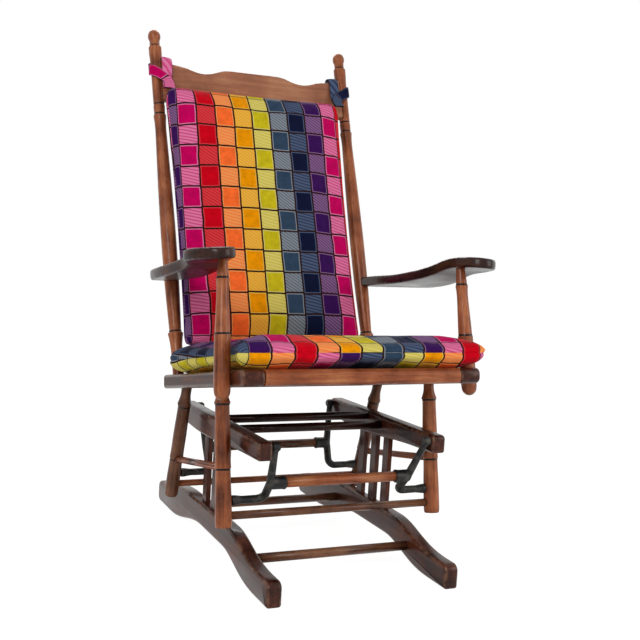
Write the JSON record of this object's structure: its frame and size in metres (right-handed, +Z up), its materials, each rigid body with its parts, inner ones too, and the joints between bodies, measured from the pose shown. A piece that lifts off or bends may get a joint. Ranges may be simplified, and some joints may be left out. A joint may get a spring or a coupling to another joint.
{
  "type": "platform rocker",
  "caption": "Turned wooden armchair that rocks on cast-iron hangers over a standing base, with boxed grid-pattern cushions tied to its back.",
  "frame": {"origin": "on the floor, under the middle of the whole object's box", "axes": "+Z up, the chair faces -Y, +X to the right seen from the front"},
  "size_m": [0.6472, 0.7871, 1.0907],
  "materials": {
    "wood": "satin varnish over dark red-brown stain",
    "pale_wood": "satin varnish, lighter orange-brown",
    "iron": "black enamel, slightly worn",
    "cushion_cloth": "cut velvet squares in a dark grid, many colours",
    "tie_cloth": "velvet band"
  },
  "bodies": {
    "base": {"runner_left": "wood", "runner_right": "wood", "top_rail_left": "wood", "top_rail_right": "wood", "slat_left_front": "wood", "slat_left_middle": "wood", "slat_left_rear": "wood", "slat_right_front": "wood", "slat_right_middle": "wood", "slat_right_rear": "wood", "upper_rod_front": "pale_wood", "upper_rod_rear": "pale_wood", "lower_rod_front": "pale_wood", "lower_rod_rear": "pale_wood", "front_upper_pin_left": "iron", "front_upper_pin_right": "iron", "rear_upper_pin_left": "iron", "rear_upper_pin_right": "iron"},
    "front_hangers": {"front_hanger_left": "iron", "front_hanger_right": "iron", "front_dowel": "pale_wood"},
    "rear_hangers": {"rear_hanger_left": "iron", "rear_hanger_right": "iron", "rear_dowel": "pale_wood", "rear_lower_pin_left": "iron", "rear_lower_pin_right": "iron"},
    "chair": {"front_lower_pin_left": "iron", "front_lower_pin_right": "iron", "side_rail_left": "wood", "side_rail_right": "wood", "front_seat_rail": "pale_wood", "rear_seat_rail": "wood", "seat_board": "pale_wood", "front_leg_left": "wood", "front_leg_right": "wood", "rear_leg_left": "wood", "rear_leg_right": "wood", "side_stretcher_left": "wood", "side_stretcher_right": "wood", "front_stretcher": "wood", "rear_stretcher": "wood", "arm_post_left": "wood", "arm_post_right": "wood", "arm_left": "wood", "arm_right": "wood", "back_post_left": "wood", "back_post_right": "wood", "crest_rail": "wood", "spindle_1": "wood", "spindle_2": "wood", "spindle_3": "wood", "spindle_4": "wood", "spindle_5": "wood", "seat_cushion": "cushion_cloth", "back_cushion": "cushion_cloth", "tie_left": "tie_cloth", "tie_right": "tie_cloth"}
  },
  "joints": [
    {"name": "front_hanger_swing", "type": "hinge", "parent": "base", "child": "front_hangers", "pos_m": [0, -0.30433, 0.26681], "axis": [1, 0, 0], "range_deg": [-15, 15]},
    {"name": "chair_swing", "type": "hinge", "parent": "front_hangers", "child": "chair", "pos_m": [0, -0.22375, 0.14868], "axis": [1, 0, 0], "range_deg": [-20.5, 20.5]},
    {"name": "rear_hanger_swing", "type": "hinge", "parent": "base", "child": "rear_hangers", "pos_m": [0, 0.14481, 0.25568], "axis": [1, 0, 0], "range_deg": [-12, 12]}
  ],
  "couplings": [
    {"joint": "chair_swing", "follows": "front_hanger_swing", "ratio": -1.357},
    {"joint": "rear_hanger_swing", "follows": "front_hanger_swing", "ratio": 0.79}
  ]
}
